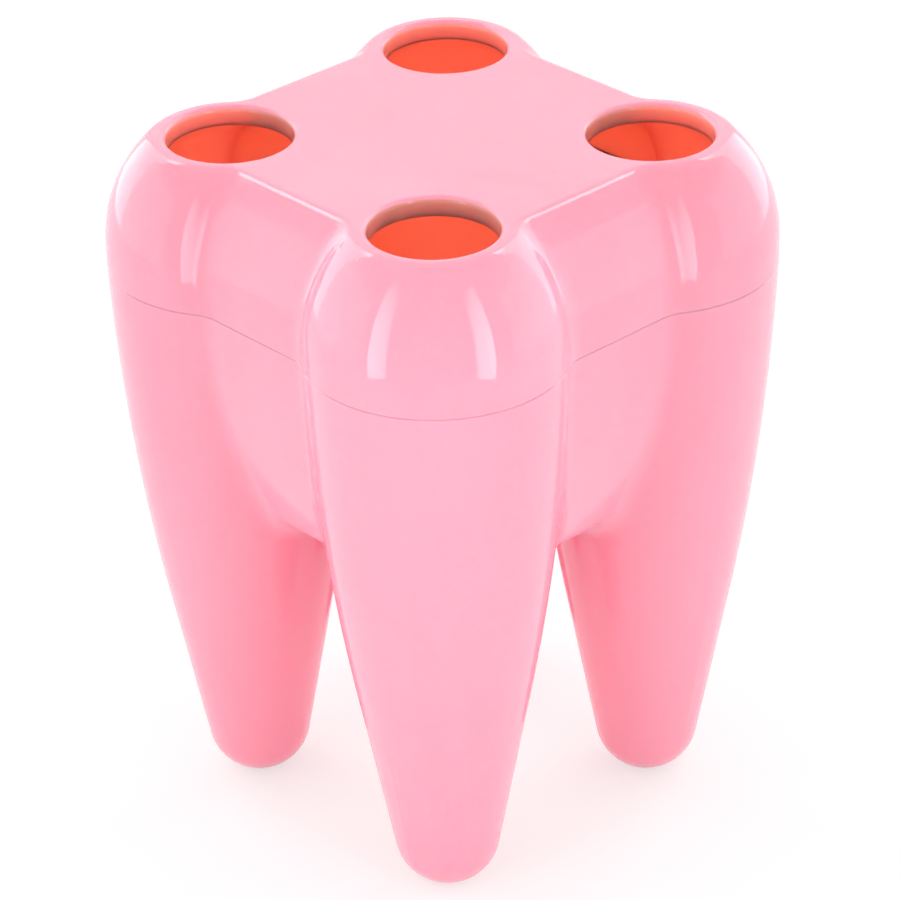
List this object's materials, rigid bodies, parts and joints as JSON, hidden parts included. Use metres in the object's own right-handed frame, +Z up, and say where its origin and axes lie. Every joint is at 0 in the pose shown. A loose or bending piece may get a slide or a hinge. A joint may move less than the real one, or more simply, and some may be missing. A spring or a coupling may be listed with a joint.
{
  "type": "toothbrush holder",
  "caption": "Glossy pink moulded toothbrush holder shaped like a molar, with a lift-off crown pierced by brush holes and a hollow body standing on tapered roots.",
  "frame": {"origin": "on the surface it stands on, under the middle of the four roots", "axes": "+Z up; X and Y each lie halfway between two neighbouring roots, so the roots stand on the diagonals"},
  "size_m": [0.0874, 0.0874, 0.1174],
  "materials": {
    "pink_plastic": "high gloss"
  },
  "bodies": {
    "roots": {"root_body": "pink_plastic"},
    "crown": {"crown_cover": "pink_plastic"}
  },
  "joints": [
    {"name": "crown_lift", "type": "slide", "parent": "roots", "child": "crown", "axis": [0, 0, 1], "range_m": [0, 0.03]}
  ]
}
